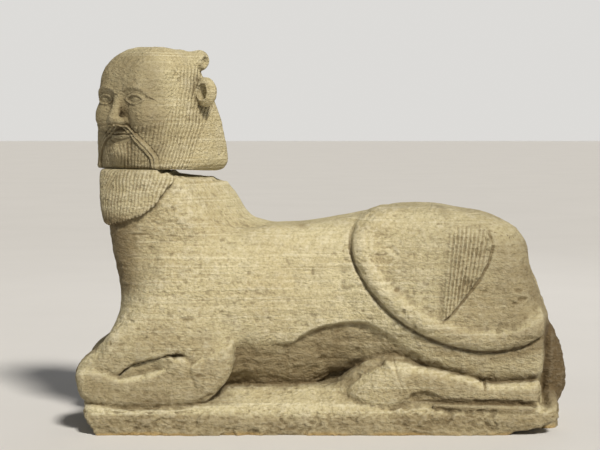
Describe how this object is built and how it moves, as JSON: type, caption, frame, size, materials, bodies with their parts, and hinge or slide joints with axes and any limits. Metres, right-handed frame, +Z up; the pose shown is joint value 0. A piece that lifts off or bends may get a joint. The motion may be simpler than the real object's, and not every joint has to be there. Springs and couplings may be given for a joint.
{
  "type": "human-headed bull statue",
  "caption": "Ancient limestone carving of a recumbent bull with a bearded human head, its tail laid over the haunch, on a rough base, with the head as a separate block.",
  "frame": {"origin": "middle of the underside, on the surface that the statue stands on", "axes": "+X from the head towards the rump, +Z up, -Y towards the side with the tail, which is the side to be seen"},
  "size_m": [0.9323, 0.38, 0.7274],
  "materials": {
    "limestone": "weathered pale limestone, matt, with level bedding streaks, pits and brown dirt in its hollows"
  },
  "bodies": {
    "root": {"body_block": "limestone", "head_block": "limestone"}
  },
  "joints": []
}
